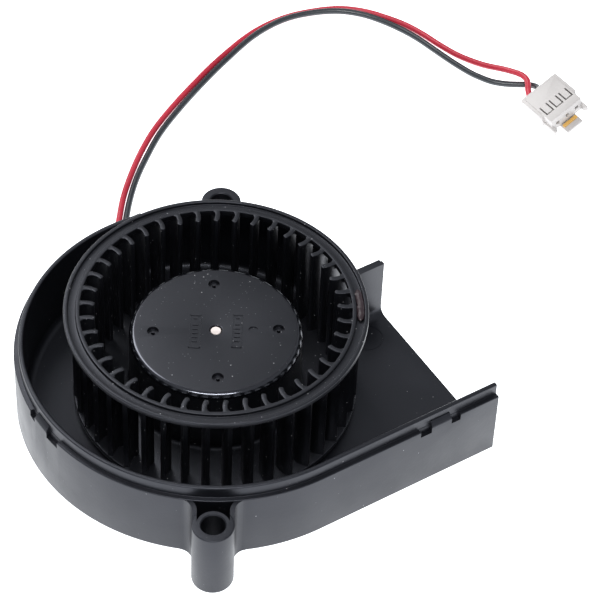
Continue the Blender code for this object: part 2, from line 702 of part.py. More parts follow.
def build():
    clear_scene()
    casing = finish("casing_plastic", (0.022, 0.023, 0.026), 0.45)
    wheel = finish("wheel_plastic", (0.024, 0.024, 0.028), 0.4)
    steel = finish("steel", (0.55, 0.55, 0.54), 0.35, 1.0)
    magnet = finish("magnet", (0.06, 0.055, 0.05), 0.6)
    brass = finish("brass", (0.65, 0.46, 0.2), 0.35, 1.0)
    bronze = finish("bronze", (0.45, 0.28, 0.15), 0.5, 1.0)
    rubber = finish("rubber", (0.03, 0.03, 0.03), 0.8)
    felt = finish("felt", (0.25, 0.20, 0.15), 0.9)
    putty = finish("putty", (0.10, 0.055, 0.06), 0.7)
    lamination = finish("lamination", (0.35, 0.35, 0.36), 0.45, 1.0)
    spool = finish("spool", (0.75, 0.73, 0.66), 0.5)
    copper = finish("copper", (0.72, 0.30, 0.14), 0.3, 1.0)
    board = finish("board", (0.04, 0.16, 0.07), 0.4)
    chip = finish("chip", (0.02, 0.02, 0.02), 0.5)
    ceramic = finish("ceramic", (0.45, 0.36, 0.25), 0.5)
    red = finish("wire_red", (0.60, 0.03, 0.06), 0.35)
    black = finish("wire_black", (0.03, 0.035, 0.045), 0.35)
    ivory = finish("ivory", (0.75, 0.72, 0.70), 0.4)
    tin = finish("tin", (0.75, 0.72, 0.62), 0.3, 1.0)

    make_housing(casing)
    make_bearings(brass, bronze, rubber)
    make_stator(lamination, spool, copper)
    make_board(board, chip, ceramic)
    make_rotor(wheel, steel, magnet, brass, felt, putty)
    make_lead(red, black)
    make_connector(ivory, tin)


build()
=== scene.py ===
"""Looks for a centrifugal blower fan with its cover off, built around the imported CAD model.

Shapes are drawn in millimetres in the CAD's own frame, and their meshes are made in metres.
"""

import math

import bmesh
import bpy
from mathutils import Matrix, Vector, noise


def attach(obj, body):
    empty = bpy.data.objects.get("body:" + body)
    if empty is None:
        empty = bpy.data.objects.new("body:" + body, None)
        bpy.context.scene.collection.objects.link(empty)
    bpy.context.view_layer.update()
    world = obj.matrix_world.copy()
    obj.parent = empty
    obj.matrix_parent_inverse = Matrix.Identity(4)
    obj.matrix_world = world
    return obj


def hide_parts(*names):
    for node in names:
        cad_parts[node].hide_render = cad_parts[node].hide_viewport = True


MM = 0.001
FULL_TURN = 2 * math.pi

# Camera: places in millimetres, roll in degrees, lens and sensor in millimetres
CAMERA_AT = Vector((-178.0, -289.2, 392.2))
CAMERA_TARGET = Vector((26.007, 12.199, 0))
CAMERA_ROLL = 2.732
CAMERA_LENS = 170.28
CAMERA_SENSOR = 36

# Light: each lamp's name, place and size in metres, and power in watts. The floor glows like a light
# table, so that the casing's walls mirror a bright surround.
LAMPS = (("key", (-0.05, 0.6, 0.75), (0.5, 0.5), 4.2), ("top", (-0.2, -0.3, 0.75), (0.5, 0.1), 4.5))
SKY_COLOUR = (0.93, 0.96, 1.0)
SKY_STRENGTH = 0.46
FLOOR_COLOUR = (0.86, 0.86, 0.87)
FLOOR_SHADE = (0.84, 0.845, 0.855)
FLOOR_GLOW_COLOUR = (0.94, 0.97, 1.0)
FLOOR_GLOW = 1.3
FLOOR_HALF = 1500
FLOOR_LEVEL = -0.05

# Black plastics: their colours, the tint of their reflections, and their dust as
# (density, speck size, colour)
CASING_BLACK = (0.0032, 0.0035, 0.0048)
WHEEL_BLACK = (0.0022, 0.0024, 0.0032)
SHEEN = (0.84, 0.87, 1.0)
DUST = ((900, 0.10, (0.40, 0.40, 0.42)), (1500, 0.13, (0.12, 0.12, 0.13)))

# Casing: the scroll's radius at its full size, how much less it is at the tongue, and the headings between
SCROLL_RADIUS = 36.1
SCROLL_GROWTH = 5.4
SCROLL_START = 7.0
SCROLL_FULL = 160.0
GROWTH_POWER = 1.6
OUTLET_X = 36.8
WALL = 1.8
FLOOR = 1.5
WALL_TOP = 14.0
LIP_TOP = 16.3
LEDGE = 0.9
TONGUE_FILLET = 1.0
TONGUE_LOW = ((29.5, 0.0, 14.4), (38.0, 8.0, 17.0))
FLOOR_FILLET = 1.5
BOTTOM_ROUND = 0.35
EDGE_ROUND = 0.18
LIP_ROUND = 0.28
END_ROUND = 0.14
HUB_SEAT_RADIUS = 5.4
TUBE_HOLE = 3.7
MOULD_MARK_AT = (30.8, -3.4)
MOULD_MARK_RADIUS = 3.0

# Height above the whole casing, for cuts that are open at the top
ABOVE = 17.0

# Catches for the cover's hooks: spans in degrees at the left, in millimetres along the long wall
LEFT_NOTCHES = ((175.2, 178.0), (184.5, 189.4))
LEFT_CATCH = (178.2, 184.3)
LONG_NOTCHES = ((20.2, 22.5), (26.7, 28.6))
LONG_CATCH = (22.6, 26.6)
NOTCH_DEPTH = 0.8
NOTCH_HEIGHT = 1.35
CATCH_SLOPE = 0.7
CATCH_RISE = 0.95
CATCH_SINK = 0.3

# Screw bosses: a web joins each one's post to the scroll, and the near boss's web is hollow
BOSS_RADIUS = 3.7
BOSS_HOLE = 2.1
BOSS_TOP = 14.4
NEAR_BOSS = Vector((-21.65, -35.3))
FAR_BOSS = Vector((19.2, 30.05))
FAR_BOSS_HEADING = 57.4
BOSS_LEAD = 0.2
BOSS_FILLET = 2.5
WEB_HALF = 3.62
WEB_WALL = 0.8
POST_RADIUS = 2.9
WEB_SINK = 0.08
WEB_LOW = 0.05
POCKET_GAP = 0.05

# Impeller: places on the hub's top are (radius, heading) for the dimples and (x, y) for the rest
BLADES = 41
RING_RADIUS = 27.0
RING_INNER = 24.1
RING_TOP = 23.55
RING_BOTTOM = 22.35
LIP = 0.75
GROOVE_DEPTH = 0.6
BLADE_TIP = 21.8
BLADE_OUTER = 25.4
BLADE_THICK = 0.9
BLADE_HEADING = 5.7
BLADE_BOW = 0.166
BLADE_BOW_RADIUS = 23.1
BLADE_FLARE = 0.2
BLADE_FLARE_REACH = 0.55
BLADE_BITE = 0.3
TIP_REACH = 0.36
TIP_FULLNESS = 0.6
BACK_PLATE_RADIUS = 25.7
BACK_PLATE = (2.5, 3.5)
HUB_RADIUS = 15.5
HUB_TOP = 17.7
HUB_WALL = 1.2
HUB_ROUND = 1.1
COLLAR_OUTER = 3.2
COLLAR_INNER = 2.75
COLLAR_LOW = 12.7
DIMPLES = 4
DIMPLE_PLACE = (11.2, 60.8)
DIMPLE_RADIUS = 1.08
DIMPLE_DEPTH = 0.7
PIN_RADIUS = 0.35
PIN_HEIGHT = 0.4
GATE_PLACE = (5.75, -3.4)
GATE_RADIUS = 0.85
GATE_DEPTH = 0.18
MARKS = (((-3.4, 1.6), 2.1), ((3.1, -2.2), 1.8))
MARK_HEADING = 56.8
MARK_LENGTH = 7.9
MARK_LINE = 0.2
MARK_RAISE = 0.1
MARK_BARS = (-2.4, -1.4, -0.4, 0.6, 1.6)
SHAFT_BORE = 1.15
SHAFT_RADIUS = 0.94
SHAFT_LOW = 1.2
SHAFT_TOP = 17.6
PUTTY_SPAN = (-37.0, -20.0)
PUTTY_WIDE = 0.64
PUTTY_TALL = 0.42
RING_SIDES = 246
HUB_SIDES = 144
NEAR_AXIS = 0.0001

# Lead
WIRE_RADIUS = 0.62
WIRE_STEP = 1.2
CHANNEL_X = 1.0
CHANNEL_WIDTH = 3.5
CHANNEL_DEPTH = 1.35
CHANNEL_ROOF = 1.9
CHANNEL_ROOF_HALF = 2.6
CHANNEL_ENDS = (9.0, 39)
LEAD_HOLE = (8.2, 12.4)
EXIT_TAB = ((-2.9, 33.9), (4.9, 35.5))
EXIT_TAB_LOW = 12.6

RED_ROUTE = [
    (0.15, 35.8, 0.66), (0.3, 37.6, 0.66), (1.2, 40.0, 0.66), (3.3, 42.9, 0.66), (6.25, 46.55, 0.66),
    (10.2, 51.75, 0.66), (14.55, 56.45, 0.66), (19.55, 61.1, 0.66), (24.85, 65.25, 0.66),
    (31.2, 69.1, 0.66), (38.65, 72.95, 0.66), (47.15, 76.85, 0.66), (56.7, 80.15, 0.66), (64.6, 80.95, 0.66),
    (71.0, 79.85, 0.66), (76.6, 77.65, 0.66), (80.6, 74.4, 0.66), (83.45, 70.6, 0.66),
    (85.8, 66.5, 0.66), (87.35, 62.25, 0.66), (88.5, 57.8, 0.66), (90.0, 53.3, 0.66), (91.95, 49.4, 0.8),
    (93.4, 47.0, 1.05), (94.8, 44.8, 1.5), (95.95, 42.5, 2.0), (96.75, 40.3, 2.4), (96.65, 38.2, 2.5),
    (95.3, 36.1, 2.38), (94.18, 33.86, 2.25),
]
BLACK_ROUTE = [
    (1.85, 35.8, 0.66), (1.95, 37.2, 0.66), (2.75, 39.35, 0.66), (4.55, 42.1, 0.66), (7.3, 45.75, 0.66),
    (11.25, 50.85, 0.66), (15.5, 55.5, 0.66), (20.5, 59.95, 0.66), (25.7, 64.05, 0.66), (31.9, 67.85, 0.66),
    (39.15, 71.7, 0.68), (47.45, 75.5, 0.86), (56.6, 78.85, 1.2), (64.15, 79.8, 1.4), (70.45, 78.75, 1.35),
    (75.85, 76.55, 1.15), (79.6, 73.4, 1.0), (82.2, 69.9, 0.78), (84.25, 65.9, 0.66),
    (85.7, 61.75, 0.66), (86.75, 57.15, 0.66), (87.85, 52.35, 0.66), (89.1, 48.0, 0.66), (90.15, 45.6, 0.66),
    (91.35, 43.5, 0.66), (92.75, 42.0, 0.66), (94.3, 40.75, 0.66), (95.85, 39.75, 0.68), (97.25, 38.35, 1.05),
    (97.65, 36.3, 1.98), (96.55, 34.1, 3.0),
]
RED_LENGTH = 0.145
BLACK_LENGTH = 0.142

# Connector: y runs towards the mating end as a negative number, from 0 at the end with the wires
CONNECTOR_AT = (97.05, 34.3)
CONNECTOR_TURN = 5.7
CONNECTOR_ROLL = 17.5
CONNECTOR_SIZE = (9.3, 8.7, 3.4)
CONNECTOR_NOSE = 8.0
CONNECTOR_SHOULDER = 6.3
POSITIONS = 3
PITCH = 2.5
CAVITY = 1.5
CAVITY_LOW = 0.9
LATCH_WIDTH = 4.0
LATCH_DROP = 0.8
CATCH_DROP = 1.21
CONNECTOR_CLEARANCE = 0.03
REAR_STEP = 0.22
PANEL_BACK = -0.55
HORN_BACK = -5.6
HORN_REACH = 1.3
HORN_INSIDE = 0.5
HORN_OUTSIDE = 0.42
ARM_REACH = 2.1
ARM_START = -1.6
ARM_ROOT = (-5.2, -2.6)
CATCH_HALF = 0.8
CATCH_SPAN = (-6.4, -3.0)
CAVITY_FRONT = -7.6
HOLE_SPAN = (-9.5, -7)
WINDOW_SLOT = 0.32
WINDOW_HALF = 0.83
WINDOW_FRONT = -6.85
WINDOW_BACK = -4.45
CONTACT_HOLE = 0.42
# Span of the amber strip of painted shade that fills the gap under the latch arm
GAP_SHADE_SPAN = (-9.55, -8.85)


def polar(radius, degrees, centre=(0.0, 0.0)):
    angle = math.radians(degrees)
    return Vector((centre[0] + radius * math.cos(angle), centre[1] + radius * math.sin(angle)))


def arc(centre, radius, start, end, steps):
    """Points on an arc, from start to end in degrees, both included."""
    return [polar(radius, start + (end - start) * i / steps, centre) for i in range(steps + 1)]


def smooth_curve(points, step):
    """Points about one step apart on a Catmull-Rom curve through the given points."""
    knots = [Vector(p) for p in points]
    knots = [2 * knots[0] - knots[1], *knots, 2 * knots[-1] - knots[-2]]
    spaced = []
    for a, b, c, d in zip(knots, knots[1:], knots[2:], knots[3:]):
        count = max(1, round((c - b).length / step))
        for i in range(count):
            t = i / count
            spaced.append(0.5 * (2 * b + (c - a) * t + (2 * a - 5 * b + 4 * c - d) * t**2
                                 + (3 * b - a - 3 * c + d) * t**3))
    spaced.append(knots[-2])
    return spaced


def inset(outline, distance):
    """An anticlockwise outline moved inwards by a distance, with mitred corners."""
    moved = []
    for i, point in enumerate(outline):
        before = (Vector(point) - Vector(outline[i - 1])).normalized()
        after = (Vector(outline[(i + 1) % len(outline)]) - Vector(point)).normalized()
        normal = Vector((-before.y - after.y, before.x + after.x)).normalized()
        reach = max(0.4, normal.dot(Vector((-after.y, after.x))))
        moved.append(Vector(point) + normal * (distance / reach))
    return moved


def area(outline):
    return sum(a[0] * b[1] - b[0] * a[1] for a, b in zip(outline, [*outline[1:], outline[0]])) / 2


def loft(loops):
    """Solid through a stack of closed loops with the same number of points, capped at both ends."""
    shape = bmesh.new()
    rings = [[shape.verts.new(p) for p in loop] for loop in loops]
    for a, b in zip(rings, rings[1:]):
        for i in range(len(a)):
            shape.faces.new((a[i - 1], a[i], b[i], b[i - 1]))
    shape.faces.new(rings[0][::-1])
    shape.faces.new(rings[-1])
    return shape


def prism(outline, low, high, round_low=0.0, round_high=0.0):
    """Upright solid on an outline, with its lower and upper edges rounded."""
    if area(outline) < 0:
        outline = outline[::-1]
    levels = []
    if round_low:
        levels += [(round_low * (1 - math.sin(a)), low + round_low * (1 - math.cos(a)))
                   for a in (0.0, 0.52, 1.05)]
    levels.append((0.0, low + round_low))
    levels.append((0.0, high - round_high))
    if round_high:
        levels += [(round_high * (1 - math.cos(a)), high - round_high * (1 - math.sin(a)))
                   for a in (0.52, 1.05, math.pi / 2)]
    return loft([[(*p, z) for p in (inset(outline, d) if d else outline)] for d, z in levels])


def box(low, high):
    (x0, y0, z0), (x1, y1, z1) = low, high
    return prism([(x0, y0), (x1, y0), (x1, y1), (x0, y1)], z0, z1)


def turned(profile, sides, centre=(0.0, 0.0)):
    """Ring about an upright axis with a closed profile of (radius, height) points."""
    shape = bmesh.new()
    rows = []
    for k in range(sides):
        angle = 360 * k / sides
        rows.append([shape.verts.new((*polar(r, angle, centre), z)) for r, z in profile])
    for k in range(sides):
        for j in range(len(profile)):
            shape.faces.new((rows[k - 1][j - 1], rows[k][j - 1], rows[k][j], rows[k - 1][j]))
    return shape


def disc(radius, low, high, sides=48, centre=(0.0, 0.0)):
    return prism(arc(centre, radius, 0, 360 - 360 / sides, sides - 1), low, high)


def rounded_rectangle(low, high, radius, steps=4):
    (x0, y0), (x1, y1) = low, high
    corners = [((x1 - radius, y1 - radius), 0), ((x0 + radius, y1 - radius), 90),
               ((x0 + radius, y0 + radius), 180), ((x1 - radius, y0 + radius), 270)]
    outline = []
    for centre, start in corners:
        outline += arc(centre, radius, start, start + 90, steps)
    return outline


def round_profile(profile, radii, steps=4):
    """A closed profile with its corners rounded by the given radii, 0 leaving one sharp."""
    rounded = []
    count = len(profile)
    for i, (point, radius) in enumerate(zip(profile, radii)):
        here = Vector(point)
        if not radius:
            rounded.append(here)
            continue
        before = (Vector(profile[i - 1]) - here).normalized()
        after = (Vector(profile[(i + 1) % count]) - here).normalized()
        half = before.angle(after) / 2
        reach = radius / math.tan(half)
        start, end = here + before * reach, here + after * reach
        centre = here + (before + after).normalized() * (radius / math.sin(half))
        first, last = start - centre, end - centre
        sweep = first.angle(last)
        for k in range(steps + 1):
            t = k / steps
            weight = (math.sin((1 - t) * sweep), math.sin(t * sweep))
            rounded.append(centre + (first * weight[0] + last * weight[1]) / math.sin(sweep))
    return rounded


def add_piece(name, shape, material=None, sharp=32):
    """An object in metres from a bmesh in millimetres."""
    bmesh.ops.scale(shape, vec=(MM, MM, MM), verts=shape.verts)
    bmesh.ops.recalc_face_normals(shape, faces=shape.faces)
    mesh = bpy.data.meshes.new(name)
    shape.to_mesh(mesh)
    shape.free()
    if material:
        mesh.materials.append(material)
    obj = bpy.data.objects.new(name, mesh)
    bpy.context.scene.collection.objects.link(obj)
    shade(obj, sharp)
    return obj


def shade(obj, sharp=32):
    obj.data.shade_smooth()
    obj.data.set_sharp_from_angle(angle=math.radians(sharp))


def combine(obj, tools, operation, sharp=32):
    """Join bmesh tools to an object, or cut them from it, one after another."""
    for tool in tools:
        cutter = add_piece("cutter", tool)
        change = obj.modifiers.new("combine", "BOOLEAN")
        change.operation = operation
        change.solver = "EXACT"
        change.object = cutter
        graph = bpy.context.evaluated_depsgraph_get()
        result = bpy.data.meshes.new_from_object(obj.evaluated_get(graph))
        obj.modifiers.clear()
        obj.data = result
        result.name = obj.name
        bpy.data.objects.remove(cutter, do_unlink=True)
    shade(obj, sharp)


def place(obj, body, slot, *nodes):
    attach(obj, body)
    if nodes:
        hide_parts(*nodes)


def make_camera():
    """The viewpoint of the photograph: a long lens from the front left, above, slightly rolled."""
    data = bpy.data.cameras.new("camera")
    data.lens = CAMERA_LENS
    data.sensor_width = CAMERA_SENSOR
    data.clip_start = 0.01
    camera = bpy.data.objects.new("camera", data)
    bpy.context.scene.collection.objects.link(camera)
    position = CAMERA_AT * MM
    forward = (CAMERA_TARGET * MM - position).normalized()
    right = forward.cross(Vector((0, 0, 1))).normalized()
    up = right.cross(forward)
    c, s = math.cos(math.radians(CAMERA_ROLL)), math.sin(math.radians(CAMERA_ROLL))
    right, up = c * right + s * up, c * up - s * right
    heading = Matrix((right, up, -forward)).transposed().to_4x4()
    camera.matrix_world = Matrix.Translation(position) @ heading
    bpy.context.scene.camera = camera


def make_lights():
    """A pale even surround, a large soft lamp behind the object and a narrow one over its front."""
    scene = bpy.context.scene
    scene.view_settings.view_transform = "Standard"
    world = bpy.data.worlds.new("studio")
    scene.world = world
    world.use_nodes = True
    background = world.node_tree.nodes["Background"]
    background.inputs["Color"].default_value = (*SKY_COLOUR, 1.0)
    background.inputs["Strength"].default_value = SKY_STRENGTH
    for name, position, size, power in LAMPS:
        data = bpy.data.lights.new(name, "AREA")
        data.shape = "RECTANGLE"
        data.size, data.size_y = size
        data.energy = power
        lamp = bpy.data.objects.new(name, data)
        lamp.location = position
        lamp.rotation_euler = (-Vector(position)).to_track_quat("-Z", "Y").to_euler()
        scene.collection.objects.link(lamp)


def make_floor():
    shape = bmesh.new()
    half = FLOOR_HALF
    corners = ((-half, -half), (half, -half), (half, half), (-half, half))
    shape.faces.new([shape.verts.new((x, y, FLOOR_LEVEL)) for x, y in corners])
    floor = add_piece("floor", shape, floor_material())


class Material:
    """A Principled material whose textures lie in the object's own coordinates, in metres."""

    def __init__(self, name, colour, roughness, metallic=0.0, specular=0.5, tint=(1.0, 1.0, 1.0)):
        self.data = bpy.data.materials.new(name)
        self.data.use_nodes = True
        tree = self.data.node_tree
        self.nodes, self.links = tree.nodes, tree.links
        self.shader = self.nodes["Principled BSDF"]
        self.colour = colour
        self.shader.inputs["Base Color"].default_value = (*colour, 1.0)
        self.shader.inputs["Roughness"].default_value = roughness
        self.shader.inputs["Metallic"].default_value = metallic
        self.shader.inputs["Specular IOR Level"].default_value = specular
        self.shader.inputs["Specular Tint"].default_value = (*tint, 1.0)
        self.roughness = roughness
        self.place = self.nodes.new("ShaderNodeTexCoord").outputs["Object"]
        self.colour_socket = None
        self.normal_socket = None

    def noise(self, scale, detail=3.0, stretch=None):
        texture = self.nodes.new("ShaderNodeTexNoise")
        texture.inputs["Scale"].default_value = scale
        texture.inputs["Detail"].default_value = detail
        source = self.place
        if stretch:
            mapping = self.nodes.new("ShaderNodeMapping")
            mapping.inputs["Scale"].default_value = stretch
            self.links.new(self.place, mapping.inputs["Vector"])
            source = mapping.outputs["Vector"]
        self.links.new(source, texture.inputs["Vector"])
        return texture.outputs["Fac"]

    def ramp(self, value, low, high, out_low=0.0, out_high=1.0):
        ranged = self.nodes.new("ShaderNodeMapRange")
        limits = {"From Min": low, "From Max": high, "To Min": out_low, "To Max": out_high}
        for socket, number in limits.items():
            ranged.inputs[socket].default_value = number
        self.links.new(value, ranged.inputs["Value"])
        return ranged.outputs["Result"]

    def tint(self, value, colour):
        """Mix towards another colour where the value is high."""
        mix = self.nodes.new("ShaderNodeMix")
        mix.data_type = "RGBA"
        self.links.new(value, mix.inputs["Factor"])
        mix.inputs["A"].default_value = (*self.colour, 1.0)
        mix.inputs["B"].default_value = (*colour, 1.0)
        if self.colour_socket:
            self.links.new(self.colour_socket, mix.inputs["A"])
        self.colour_socket = mix.outputs["Result"]
        self.links.new(self.colour_socket, self.shader.inputs["Base Color"])

    def roughen(self, value, spread):
        """Let the roughness drift by a spread to each side."""
        self.links.new(self.ramp(value, 0.3, 0.7, self.roughness - spread, self.roughness + spread),
                       self.shader.inputs["Roughness"])

    def bump(self, value, depth, strength=1.0):
        """Relief of a depth in millimetres, laid over what is there."""
        bump = self.nodes.new("ShaderNodeBump")
        bump.inputs["Distance"].default_value = depth * MM
        bump.inputs["Strength"].default_value = strength
        self.links.new(value, bump.inputs["Height"])
        if self.normal_socket:
            self.links.new(self.normal_socket, bump.inputs["Normal"])
        self.normal_socket = bump.outputs["Normal"]
        self.links.new(self.normal_socket, self.shader.inputs["Normal"])

    def specks(self, scale, size, share):
        """Sparse round specks, as a value that is 1 on a speck."""
        voronoi = self.nodes.new("ShaderNodeTexVoronoi")
        voronoi.inputs["Scale"].default_value = scale
        self.links.new(self.place, voronoi.inputs["Vector"])
        dots = self.ramp(voronoi.outputs["Distance"], size, size * 0.6, 0.0, 1.0)
        chosen = self.nodes.new("ShaderNodeSeparateColor")
        self.links.new(voronoi.outputs["Color"], chosen.inputs["Color"])
        keep = self.ramp(chosen.outputs["Red"], share, share * 0.9, 0.0, 1.0)
        both = self.nodes.new("ShaderNodeMath")
        both.operation = "MULTIPLY"
        self.links.new(dots, both.inputs[0])
        self.links.new(keep, both.inputs[1])
        return both.outputs["Value"]


def floor_material():
    """Pale paper with a slight glow of its own."""
    paper = Material("paper_floor", FLOOR_COLOUR, 0.9)
    paper.tint(paper.ramp(paper.noise(14), 0.3, 0.7), FLOOR_SHADE)
    paper.shader.inputs["Emission Color"].default_value = (*FLOOR_GLOW_COLOUR, 1.0)
    paper.shader.inputs["Emission Strength"].default_value = FLOOR_GLOW
    return paper.data


def moulded(name, colour, roughness, grain, dust=0.0, wide=0.05, tint=(1.0, 1.0, 1.0), specular=0.5):
    """Injection-moulded plastic: fine grain, a slow drift in sheen and shade, and some dust."""
    plastic = Material(name, colour, roughness, specular=specular, tint=tint)
    drift = plastic.noise(38, 4.0)
    plastic.tint(plastic.ramp(drift, 0.35, 0.75), tuple(1.35 * c for c in colour))
    if dust:
        for density, size, pale in DUST:
            plastic.tint(plastic.specks(density, size, dust), pale)
    plastic.roughen(plastic.noise(150, 5.0), wide)
    plastic.bump(plastic.noise(1600, 2.0), grain)
    plastic.bump(plastic.noise(60, 2.0), 0.02)
    return plastic.data


def insulation(name, colour, sheen):
    """Extruded wire insulation, slightly uneven along its length."""
    jacket = Material(name, colour, 0.36, specular=sheen)
    paler = tuple(min(1.0, 1.25 * c + 0.01) for c in colour)
    jacket.tint(jacket.ramp(jacket.noise(70, 3.0), 0.35, 0.7), paler)
    jacket.roughen(jacket.noise(300, 4.0), 0.06)
    jacket.bump(jacket.noise(500, 3.0), 0.02)
    return jacket.data


def metal(name, colour, roughness, stretch=None, scale=900, spread=0.08):
    """Metal with fine tool or grain marks."""
    finish = Material(name, colour, roughness, metallic=1.0)
    marks = finish.noise(scale, 5.0, stretch)
    finish.tint(finish.ramp(marks, 0.4, 0.8), tuple(0.8 * c for c in colour))
    finish.roughen(marks, spread)
    finish.bump(marks, 0.01)
    return finish.data


def banded(name, colour, dark, pitch, axis, roughness, metallic=0.0):
    """Even bands across one axis, as a stack of sheets or a winding's turns show."""
    finish = Material(name, colour, roughness, metallic=metallic)
    wave = finish.nodes.new("ShaderNodeTexWave")
    wave.bands_direction = axis
    wave.inputs["Scale"].default_value = FULL_TURN / (20 * pitch * MM)
    wave.inputs["Distortion"].default_value = 0.4
    finish.links.new(finish.place, wave.inputs["Vector"])
    bands = wave.outputs["Fac"]
    finish.tint(finish.ramp(bands, 0.45, 0.1), dark)
    finish.bump(bands, 0.06)
    finish.roughen(finish.noise(500, 3.0), 0.08)
    return finish.data


def make_materials():
    """Every finish by name, on the casing and the wheel as well as on the CAD nodes that show."""
    return {
        "casing_plastic": moulded("casing_plastic", CASING_BLACK, 0.40, 0.012, 0.05, tint=SHEEN),
        "wheel_plastic": moulded("wheel_plastic", WHEEL_BLACK, 0.38, 0.008, 0.3, tint=SHEEN),
        "hub_plastic": moulded("hub_plastic", WHEEL_BLACK, 0.40, 0.008, 0.35, tint=SHEEN),
        "hub_gloss": moulded("hub_gloss", WHEEL_BLACK, 0.14, 0.003, 0.04, 0.03, SHEEN, 1.0),
        "steel": metal("steel", (0.62, 0.61, 0.60), 0.30, (1, 1, 12)),
        "shaft_steel": metal("shaft_steel", (0.86, 0.78, 0.75), 0.55),
        "magnet": moulded("magnet", (0.05, 0.045, 0.04), 0.65, 0.03),
        "brass": metal("brass", (0.70, 0.52, 0.25), 0.28, (1, 1, 10)),
        "bronze": metal("bronze", (0.42, 0.28, 0.16), 0.5, None, 2500),
        "rubber": moulded("rubber", (0.015, 0.015, 0.016), 0.75, 0.03),
        "putty": moulded("putty", (0.016, 0.007, 0.010), 0.42, 0.05),
        "felt": moulded("felt", (0.22, 0.17, 0.12), 0.9, 0.05),
        "lamination": banded("lamination", (0.38, 0.38, 0.39), (0.12, 0.12, 0.13), 0.5, "Z", 0.42, 1.0),
        "spool": moulded("spool", (0.72, 0.70, 0.62), 0.45, 0.01),
        "copper": banded("copper", (0.72, 0.28, 0.10), (0.28, 0.08, 0.03), 0.28, "X", 0.32, 1.0),
        "board": moulded("board", (0.02, 0.13, 0.05), 0.35, 0.02),
        "chip": moulded("chip", (0.012, 0.012, 0.013), 0.5, 0.02),
        "ceramic": moulded("ceramic", (0.42, 0.33, 0.22), 0.5, 0.01),
        "wire_red": insulation("wire_red", (0.40, 0.012, 0.032), 0.5),
        "wire_black": insulation("wire_black", (0.009, 0.013, 0.018), 0.6),
        "ivory": moulded("ivory", (0.46, 0.44, 0.43), 0.38, 0.01),
        # Amber for the strip of painted shade in the gap under the connector's latch arm
        "amber_gap_shade": moulded("amber_gap_shade", (0.62, 0.36, 0.09), 0.35, 0.01),
        "tin": metal("tin", (0.62, 0.50, 0.32), 0.3, None, 1500),
    }


def make_wire(name, route, material):
    curve = bpy.data.curves.new(name, "CURVE")
    curve.dimensions = "3D"
    curve.bevel_depth = WIRE_RADIUS * MM
    curve.bevel_resolution = 6
    curve.use_fill_caps = True
    points = smooth_curve(route, WIRE_STEP)
    spline = curve.splines.new("POLY")
    spline.points.add(len(points) - 1)
    for target, point in zip(spline.points, points):
        target.co = (*(point * MM), 1.0)
    spline.use_smooth = True
    curve.materials.append(material)
    obj = bpy.data.objects.new(name, curve)
    bpy.context.scene.collection.objects.link(obj)
    return obj


def connector_place():
    """Where the connector lies: x across its positions, -y towards the mating end, z up through it."""
    lift = CONNECTOR_SIZE[0] / 2 * math.sin(math.radians(CONNECTOR_ROLL)) + CONNECTOR_CLEARANCE
    spot = Matrix.Translation((CONNECTOR_AT[0] * MM, CONNECTOR_AT[1] * MM, lift * MM))
    turn = Matrix.Rotation(math.radians(CONNECTOR_TURN), 4, "Z")
    return spot @ turn @ Matrix.Rotation(math.radians(-CONNECTOR_ROLL), 4, "Y")


def make_lead(materials):
    connector = make_connector(materials)
    wires = (("cord_red", "red", RED_ROUTE, RED_LENGTH),
             ("cord_black", "black", BLACK_ROUTE, BLACK_LENGTH))
    for name, colour, route, length in wires:
        wire = make_wire(name, route, materials[f"wire_{colour}"])
        place(wire, "base", f"wire_{colour}", f"wire_{colour}")
        [c * MM for c in route[0]]


def connector_body():
    """Shell with a slimmer front, a horn at each side of it, and a latch arm under it."""
    width, length, thick = CONNECTOR_SIZE
    nose = CONNECTOR_NOSE / 2
    rear = rounded_rectangle((-width / 2, -CONNECTOR_SHOULDER), (width / 2, 0), 0.25)
    body = add_piece("connector_shell", prism(rear, 0, thick - REAR_STEP, 0.15, 0.2))
    panel = rounded_rectangle((-nose, -length), (nose, PANEL_BACK), 0.2)
    horns = []
    for side in (-1, 1):
        inner = side * (nose - HORN_INSIDE)
        outer = side * (nose + HORN_OUTSIDE)
        tip = -length - HORN_REACH
        outline = [(inner, HORN_BACK), (outer, HORN_BACK), (outer, tip + 0.2), (outer - side * 0.25, tip),
                   (inner, tip + 0.5)]
        horns.append(prism(outline, 0.05, 1.3, 0.1, 0.15))
    half = LATCH_WIDTH / 2
    arm = rounded_rectangle((-half, -length - ARM_REACH), (half, ARM_START), 0.2)
    root = rounded_rectangle((0.1 - half, ARM_ROOT[0]), (half - 0.1, ARM_ROOT[1]), 0.1)
    catch = rounded_rectangle((-CATCH_HALF, CATCH_SPAN[0]), (CATCH_HALF, CATCH_SPAN[1]), 0.2)
    joined = [prism(panel, 0, thick, 0.15, 0.15), *horns, prism(root, -0.5, 0.5),
              prism(arm, -LATCH_DROP, -0.2, 0.12, 0.12), prism(catch, -CATCH_DROP, -0.5, 0.12)]
    combine(body, joined, "UNION")
    return body


def window_cutters(centre, thick):
    """U-shaped slot that frees the locking tongue over one contact, and the contact's own openings."""
    half, hole = WINDOW_HALF, CONTACT_HOLE
    low, high = CAVITY_LOW + CAVITY - 0.1, thick + 1
    for side in (-1, 1):
        x = centre + side * half
        yield box((x - WINDOW_SLOT / 2, WINDOW_FRONT, low), (x + WINDOW_SLOT / 2, WINDOW_BACK, high))
    yield box((centre - half, WINDOW_FRONT - 0.02, low), (centre + half, WINDOW_FRONT + 0.24, high))
    yield box((centre - CAVITY / 2, CAVITY_FRONT, CAVITY_LOW), (centre + CAVITY / 2, 1, CAVITY_LOW + CAVITY))
    middle = CAVITY_LOW + CAVITY / 2
    yield box((centre - hole, HOLE_SPAN[0], middle - hole), (centre + hole, HOLE_SPAN[1], middle + hole))


